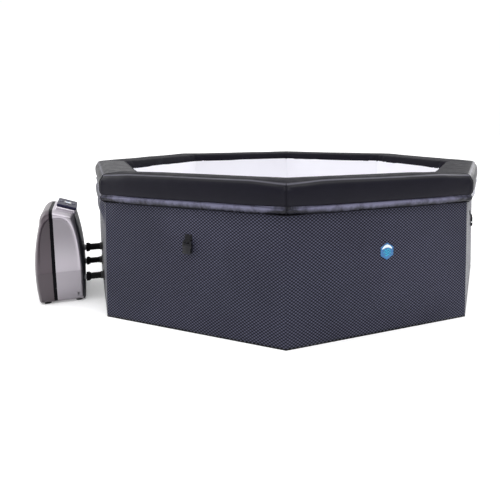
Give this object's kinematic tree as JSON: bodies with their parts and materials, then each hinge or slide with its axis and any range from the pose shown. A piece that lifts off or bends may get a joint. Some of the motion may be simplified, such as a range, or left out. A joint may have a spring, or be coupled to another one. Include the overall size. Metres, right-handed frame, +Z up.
{
  "type": "inflatable hot tub",
  "caption": "Octagonal inflatable hot tub with a padded rim, knurled jacket, white liner and a hose-coupled pump and heater unit on the floor beside it.",
  "frame": {"origin": "middle of the tub's octagonal footprint, on the floor that it stands on", "axes": "+Z up; -Y is the side with the badge; the pump unit stands on the -X side; flats of the octagon face X, Y and the diagonals"},
  "size_m": [2.2684, 2.006, 0.6],
  "materials": {
    "air_panel_pvc": "matte",
    "rim_foam": "matte",
    "rim_leatherette": "satin",
    "knurled_jacket": "matte",
    "white_liner": "satin",
    "base_fabric": "matte",
    "mat_foam": "matte",
    "fitting_plastic": "satin",
    "filter_plastic": "satin",
    "filter_paper": "matte",
    "black_webbing": "matte",
    "buckle_plastic": "satin",
    "badge_blue": "gloss",
    "silver_shell": "satin",
    "mauve_shell": "satin",
    "black_shell": "satin",
    "foot_rubber": "matte",
    "screw_steel": "satin",
    "panel_plastic": "satin",
    "display_glass": "gloss",
    "board_laminate": "matte",
    "button_plastic": "satin",
    "motor_housing": "matte",
    "rotor_plastic": "satin",
    "heater_steel": "satin",
    "pipe_plastic": "satin",
    "hose_rubber": "satin",
    "union_plastic": "satin"
  },
  "bodies": {
    "spa": {"air_panel_1": "air_panel_pvc", "air_panel_2": "air_panel_pvc", "air_panel_3": "air_panel_pvc", "air_panel_4": "air_panel_pvc", "air_panel_5": "air_panel_pvc", "air_panel_6": "air_panel_pvc", "air_panel_7": "air_panel_pvc", "air_panel_8": "air_panel_pvc", "rim_foam": "rim_foam", "rim_cover": "rim_leatherette", "outer_jacket": "knurled_jacket", "liner": "white_liner", "bubble_ring": "white_liner", "base_sheet": "base_fabric", "floor_mat": "mat_foam", "suction_fitting": "fitting_plastic", "return_fitting": "fitting_plastic", "air_fitting": "fitting_plastic", "lock_nuts": "fitting_plastic", "drain_valve": "fitting_plastic", "inflation_valve": "fitting_plastic", "filter_housing": "filter_plastic", "filter_cartridge": "filter_paper", "buckle_straps": "black_webbing", "badge": "badge_blue", "rear_shell": "silver_shell", "front_shell": "mauve_shell", "centre_band": "black_shell", "back_panel": "black_shell", "cable_gland": "black_shell", "feet": "foot_rubber", "case_screws": "screw_steel", "control_panel": "panel_plastic", "display_lens": "display_glass", "control_board": "board_laminate", "circulation_pump": "motor_housing", "air_blower": "motor_housing", "heater_tube": "heater_steel", "internal_pipes": "pipe_plastic", "discharge_pipe": "pipe_plastic", "suction_hose": "hose_rubber", "return_hose": "hose_rubber", "air_hose": "hose_rubber"},
    "buckle_1": {"buckle_1": "buckle_plastic"},
    "buckle_2": {"buckle_2": "buckle_plastic"},
    "buckle_3": {"buckle_3": "buckle_plastic"},
    "buckle_4": {"buckle_4": "buckle_plastic"},
    "suction_union": {"suction_union": "union_plastic"},
    "return_union": {"return_union": "union_plastic"},
    "air_union": {"air_union": "union_plastic"},
    "drain_cap": {"drain_cap": "fitting_plastic"},
    "valve_plunger": {"valve_plunger": "fitting_plastic"},
    "valve_cap": {"valve_cap": "fitting_plastic"},
    "filter_cap": {"filter_cap": "filter_plastic"},
    "power_button": {"power_button": "button_plastic"},
    "heat_button": {"heat_button": "button_plastic"},
    "bubble_button": {"bubble_button": "button_plastic"},
    "filter_button": {"filter_button": "button_plastic"},
    "pump_impeller": {"pump_impeller": "rotor_plastic"},
    "blower_fan": {"blower_fan": "rotor_plastic"}
  },
  "joints": [
    {"name": "buckle_1_swing", "type": "hinge", "parent": "spa", "child": "buckle_1", "pos_m": [0.69579, 0.69579, 0.356], "axis": [0.7071, -0.7071, 0], "range_deg": [0, 100]},
    {"name": "buckle_2_swing", "type": "hinge", "parent": "spa", "child": "buckle_2", "pos_m": [-0.69579, 0.69579, 0.356], "axis": [0.7071, 0.7071, 0], "range_deg": [0, 100]},
    {"name": "buckle_3_swing", "type": "hinge", "parent": "spa", "child": "buckle_3", "pos_m": [-0.69579, -0.69579, 0.356], "axis": [-0.7071, 0.7071, 0], "range_deg": [0, 100]},
    {"name": "buckle_4_swing", "type": "hinge", "parent": "spa", "child": "buckle_4", "pos_m": [0.69579, -0.69579, 0.356], "axis": [-0.7071, -0.7071, 0], "range_deg": [0, 100]},
    {"name": "suction_union_turn", "type": "hinge", "parent": "spa", "child": "suction_union", "pos_m": [-1.043, -0.14, 0.103], "axis": [1, 0, 0], "continuous": true},
    {"name": "return_union_turn", "type": "hinge", "parent": "spa", "child": "return_union", "pos_m": [-1.043, 0.14, 0.103], "axis": [1, 0, 0], "continuous": true},
    {"name": "air_union_turn", "type": "hinge", "parent": "spa", "child": "air_union", "pos_m": [-1.043, 0, 0.206], "axis": [1, 0, 0], "continuous": true},
    {"name": "drain_cap_turn", "type": "hinge", "parent": "spa", "child": "drain_cap", "pos_m": [0, 0.99, 0.045], "axis": [0, 1, 0], "continuous": true},
    {"name": "valve_plunger_press", "type": "slide", "parent": "spa", "child": "valve_plunger", "axis": [0, -1, 0], "range_m": [0, 0.003], "stiffness_N_per_m": 400},
    {"name": "valve_cap_flip", "type": "hinge", "parent": "spa", "child": "valve_cap", "pos_m": [0, 0.9805, 0.321], "axis": [1, 0, 0], "range_deg": [0, 110]},
    {"name": "filter_cap_twist", "type": "hinge", "parent": "spa", "child": "filter_cap", "pos_m": [-0.74, -0.14, 0.103], "axis": [1, 0, 0], "range_deg": [0, 40]},
    {"name": "power_button_press", "type": "slide", "parent": "spa", "child": "power_button", "axis": [-0.3162, 0, -0.9487], "range_m": [0, 0.001], "stiffness_N_per_m": 300},
    {"name": "heat_button_press", "type": "slide", "parent": "spa", "child": "heat_button", "axis": [-0.3162, 0, -0.9487], "range_m": [0, 0.001], "stiffness_N_per_m": 300},
    {"name": "bubble_button_press", "type": "slide", "parent": "spa", "child": "bubble_button", "axis": [-0.3162, 0, -0.9487], "range_m": [0, 0.001], "stiffness_N_per_m": 300},
    {"name": "filter_button_press", "type": "slide", "parent": "spa", "child": "filter_button", "axis": [-0.3162, 0, -0.9487], "range_m": [0, 0.001], "stiffness_N_per_m": 300},
    {"name": "pump_impeller_spin", "type": "hinge", "parent": "spa", "child": "pump_impeller", "pos_m": [-1.147, -0.14, 0.103], "axis": [0, 1, 0], "continuous": true},
    {"name": "blower_fan_spin", "type": "hinge", "parent": "spa", "child": "blower_fan", "pos_m": [-1.15, -0.02, 0.312], "axis": [1, 0, 0], "continuous": true}
  ]
}
